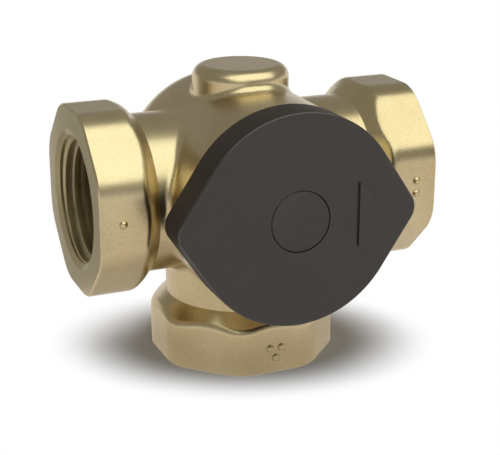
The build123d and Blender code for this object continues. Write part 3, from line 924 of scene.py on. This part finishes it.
@dataclass
class Springs:
    """The two coil springs in round wire, their ends ground flat."""

    finishes: Finishes
    sizes: tuple[SpringSize, ...]
    ground_share: float = 0.25       # how much of the wire is ground off at each end
    steps: int = 40
    round_steps: int = 16
    made: list[bpy.types.Object] = field(default_factory=list)

    def tree(self) -> Sweep:
        """Build the spring's tree.

        Returns:
            The sweep, ready to run.
        """
        sweep = Sweep(
            "coil_spring",
            numbers=("Mean Radius", "Wire", "Turns", "Length", "Ground"),
            counts=("Steps", "Round Steps"),
        )
        rise = sweep.math("ADD", sweep.of("Length"), sweep.math("MULTIPLY", sweep.of("Ground"), 2.0))
        wire = sweep.node(
            "GeometryNodeCurvePrimitiveCircle",
            Resolution=sweep.of("Round Steps"),
            Radius=sweep.math("MULTIPLY", sweep.of("Wire"), 0.5),
        )
        wound = sweep.node(
            "GeometryNodeCurveToMesh",
            Curve=sweep.helix("Mean Radius", rise),
            Profile_Curve=wire.outputs["Curve"],
            Fill_Caps=True,
        )
        place = sweep.node("GeometryNodeInputPosition").outputs[0]
        x, y, z = sweep.node("ShaderNodeSeparateXYZ", Vector=place).outputs
        lowered = sweep.math("SUBTRACT", z, sweep.of("Ground"))
        held = sweep.math("MINIMUM", sweep.math("MAXIMUM", lowered, 0.0), sweep.of("Length"))
        flat = sweep.node("ShaderNodeCombineXYZ", X=x, Y=y, Z=held).outputs[0]
        ground = sweep.node("GeometryNodeSetPosition", Geometry=wound.outputs["Mesh"], Position=flat)
        sweep.close(ground.outputs[0])
        return sweep

    def build(self) -> None:
        """Wind both springs between their seats."""
        sweep = self.tree()
        for size in self.sizes:
            fixed_y, moving_y = size.ends()
            length = abs(moving_y - fixed_y)
            towards = math.copysign(1.0, moving_y - fixed_y)
            values = {
                "Mean Radius": size.mean_r,
                "Wire": size.wire,
                "Turns": size.turns,
                "Length": length,
                "Ground": self.ground_share * size.wire,
                "Steps": self.steps,
                "Round Steps": self.round_steps,
                "Material": self.finishes.by_slot["stainless"],
            }
            turn = Vector((0.0, towards, 0.0)).to_track_quat("Z", "Y").to_matrix().to_4x4()
            place = Matrix.Translation((0.0, fixed_y, AXIS_HEIGHT)) @ turn
            piece = sweep.run(f"{size.node}_coil", values, place)
            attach(piece, Body.VALVE.value)
            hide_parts(size.node)
            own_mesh(piece)
            self.made.append(piece)


@dataclass(frozen=True)
class Viewpoint:
    """The camera, where the photograph was taken from."""

    place: Point = (-0.1242, -0.3010, 0.1445)
    turn_right: float = math.radians(22.87)
    look_down: float = math.radians(18.89)
    sensor_mm: float = 36.0
    lens_mm: float = 90.36
    nearest: float = 0.01

    def build(self) -> None:
        """Put the camera in the scene."""
        data = bpy.data.cameras.new("viewpoint")
        data.sensor_fit = "HORIZONTAL"
        data.sensor_width = self.sensor_mm
        data.lens = self.lens_mm
        data.clip_start = self.nearest
        camera = add_object("viewpoint", data)
        camera.location = self.place
        camera.rotation_euler = (math.pi / 2 - self.look_down, 0.0, -self.turn_right)
        bpy.context.scene.camera = camera


@dataclass(frozen=True)
class Softbox:
    """A flat, even lamp that faces the valve, for mirror-like things, matte things or both."""

    name: str
    direction: Point
    distance: float
    width: float
    height: float
    brightness: float
    color: Color
    in_reflections: bool = True
    on_matte: bool = True

    def build(self) -> None:
        """Hang the lamp. Its brightness is what it looks like in a mirror, where 1 is white."""
        lamp = bpy.data.lights.new(self.name, "AREA")
        lamp.shape = "RECTANGLE"
        lamp.size = self.width
        lamp.size_y = self.height
        lamp.energy = self.brightness * math.pi * self.width * self.height
        lamp.color = self.color
        holder = add_object(self.name, lamp)
        aim = Vector(self.direction).normalized()
        holder.location = Vector((0.0, 0.0, AXIS_HEIGHT)) + aim * self.distance
        holder.rotation_euler = aim.to_track_quat("Z", "Y").to_euler()
        holder.visible_camera = False
        holder.visible_glossy = self.in_reflections
        holder.visible_diffuse = self.on_matte


@dataclass(frozen=True)
class Studio:
    """A pale floor in a white room, a grey card that only reflections see, and the lamps.

    The floor is paper near the valve, so that it takes the shadow, and plain white further off. Its edges
    are the distances from the bottom port's axis between which it turns white, to the eye and in
    reflections, and they lie further out along the shadow's line, which is stretched and turned: to the eye
    this fade is a painted outline of the shadow. The three greys are the paper's lightness to the eye, in
    reflections and to other light; to the eye it is greyer than to other light, which paints its shadow
    darker. In reflections white glow lies over part of the paper near the valve, which paints its shadow
    lighter there. Overhead edges are the heights of a unit direction between which the room turns from
    white to grey in reflections.
    """

    softboxes: tuple[Softbox, ...]
    white: Color = (1.0, 1.0, 1.0)
    floor_half: float = 6.0
    # to the eye the paper is greyer than to other light, which paints its shadow darker
    seen_grey_painted_shade: float = 0.62
    mirrored_grey: float = 1.0
    true_grey: float = 0.80
    fibre_mm: float = 1.2
    fibre_tone: Range = (0.995, 1.005)
    # to the eye the paper's shadow is faded to plain white between these, a painted outline of it
    painted_shadow_edges: Range = (0.020, 0.040)
    shadow_stretch: float = 1.39
    shadow_turn: float = math.radians(22.9)
    mirrored_edges: Range = (0.040, 0.30)
    # share of white glow in reflections, near to far; near the valve it paints the paper's shadow lighter
    mirrored_white: Range = (0.52, 1.0)
    mirrored_tone: Color = (1.0, 0.96, 0.90)
    card_corners: tuple[Point, ...] = (
        (-0.45, 0.05, 0.0), (-0.053, 0.05, 0.0), (-0.053, 0.05, 0.14), (-0.45, 0.05, 0.14),
    )
    card_color: Color = (0.36, 0.345, 0.29)
    overhead_color: Color = (0.34, 0.325, 0.29)
    overhead_edges: Range = (0.02, 0.22)
    fill_color: Color = (0.06, 0.06, 0.06)

    def sheet(self, name: str, corners: tuple[Point, ...], material: bpy.types.Material) -> bpy.types.Object:
        """Put a flat four-cornered sheet in the scene.

        Args:
            name: the sheet's name.
            corners: its corners in order.
            material: its material.

        Returns:
            The sheet.
        """
        mesh = bpy.data.meshes.new(name)
        mesh.from_pydata(corners, [], [(0, 1, 2, 3)])
        mesh.materials.append(material)
        return add_object(name, mesh)

    def floor_material(self) -> bpy.types.Material:
        """White paper that takes the valve's shadow, which it paints darker to the eye, and runs out to plain
        white away from it in a painted fade.

        Returns:
            The floor's material.
        """
        shader = Shader("white_paper")
        rays = shader.node("ShaderNodeLightPath").outputs
        mirrored = shader.math("MAXIMUM", rays["Is Glossy Ray"], rays["Is Transmission Ray"])
        seen = shader.math("MAXIMUM", rays["Is Camera Ray"], mirrored)
        grey = shader.span(rays["Is Camera Ray"], UNIT, (self.true_grey, self.seen_grey_painted_shade))
        grey = shader.span(mirrored, UNIT, (grey, self.mirrored_grey))
        fibre = shader.span(shader.noise(self.fibre_mm, detail=2.0), NOISE, self.fibre_tone)
        tone = shader.blend(mirrored, self.white, self.mirrored_tone)
        shaded = shader.scaled(tone, shader.math("MULTIPLY", grey, fibre))
        paper = shader.node("ShaderNodeBsdfDiffuse", Color=shaded, Roughness=1.0)
        glow = shader.node("ShaderNodeEmission", Color=tone, Strength=1.0)
        turned = shader.node("ShaderNodeVectorRotate", Vector=shader.position, Angle=self.shadow_turn)
        x, y, _ = shader.node("ShaderNodeSeparateXYZ", Vector=turned.outputs[0]).outputs
        away = shader.distance(shader.math("DIVIDE", x, self.shadow_stretch), y)
        # the painted fade of the shadow to plain white, to the eye
        painted_shadow_fade = shader.span(away, self.painted_shadow_edges, smooth=True)
        mirrored_share = shader.span(away, self.mirrored_edges, self.mirrored_white)
        share = shader.node("ShaderNodeMix", Factor=mirrored, A=painted_shadow_fade, B=mirrored_share)
        mixed = shader.node("ShaderNodeMixShader")
        factor = shader.math("MULTIPLY", share.outputs["Result"], seen)
        for socket, value in zip(mixed.inputs, (factor, paper.outputs[0], glow.outputs[0])):
            shader.put(socket, value)
        return shader.close(mixed.outputs[0])

    def floor(self) -> None:
        """Lay the floor at the height that the valve stands on."""
        half = self.floor_half
        corners = ((-half, -half, 0.0), (half, -half, 0.0), (half, half, 0.0), (-half, half, 0.0))
        floor = self.sheet("floor", corners, self.floor_material())

    def grey_card(self) -> None:
        """Stand a grey card behind the left port, which only reflections see, as a photographer does."""
        shader = Shader("grey_card")
        glow = shader.node("ShaderNodeEmission", Color=self.card_color, Strength=1.0)
        card = self.sheet("grey_card", self.card_corners, shader.close(glow.outputs[0]))
        card.visible_camera = False
        card.visible_diffuse = False
        card.visible_shadow = False

    def surroundings(self) -> None:
        """A white room to the eye, grey overhead to the metal, with a little fill for matte things."""
        world = bpy.data.worlds.new("room")
        world.use_nodes = True
        bpy.context.scene.world = world
        room = Nodes(world.node_tree)
        direction = room.node("ShaderNodeTexCoord").outputs["Generated"]
        height = room.node("ShaderNodeSeparateXYZ", Vector=direction).outputs["Z"]
        rays = room.node("ShaderNodeLightPath").outputs
        overhead = room.span(height, self.overhead_edges, smooth=True)
        mirrored = room.blend(overhead, self.white, self.overhead_color)
        lighting = room.blend(rays["Is Diffuse Ray"], mirrored, self.fill_color)
        color = room.blend(rays["Is Camera Ray"], lighting, self.white)
        background = room.node("ShaderNodeBackground", Color=color)
        room.node("ShaderNodeOutputWorld", Surface=background.outputs[0])

    def build(self) -> None:
        """Set up floor, card, room and lamps."""
        self.floor()
        self.grey_card()
        self.surroundings()
        for softbox in self.softboxes:
            softbox.build()


SPRING_SIZES = (
    SpringSize("return_spring", 10.4 * MM, 1.6 * MM, 5.0, "shuttle_stroke", 7.0 * MM, fixed_at_back=True),
    SpringSize("overtravel_spring", 7.45 * MM, 1.4 * MM, 4.0, "overtravel", 3.0 * MM, fixed_at_back=False),
)
SOFTBOXES = (
    Softbox(
        "overhead_softbox", direction=(0.14, -0.465, 0.874), distance=0.62, width=1.15, height=0.66,
        brightness=1.62, color=(0.95, 1.0, 0.88), on_matte=False,
    ),
    Softbox(
        "overhead_key", direction=(-0.04, 0.10, 1.0), distance=0.85, width=0.45, height=0.45,
        brightness=9.4, color=(1.0, 0.98, 0.98), in_reflections=False,
    ),
    Softbox(
        "front_fill", direction=(-0.12, -0.93, 0.30), distance=0.80, width=0.30, height=0.30,
        brightness=3.5, color=(1.0, 0.97, 0.94), in_reflections=False,
    ),
)


def main() -> None:
    """Build the studio and the valve's looks, and report each piece."""
    logging.basicConfig(level=logging.INFO, format="%(name)s: %(message)s")
    scene = bpy.context.scene
    scene.view_settings.view_transform = "Standard"
    Viewpoint().build()
    Studio(SOFTBOXES).build()
    finishes = Finishes()
    springs = Springs(finishes, SPRING_SIZES)
    skins = Skins(finishes)
    threads = PortThreads(finishes)
    skins.build(skip={size.node for size in SPRING_SIZES})
    threads.build()
    springs.build()
    for piece in skins.made + threads.made + springs.made:
        LOG.info("%s: %d faces", piece.name, len(piece.data.polygons))


if __name__ == "__main__":
    main()
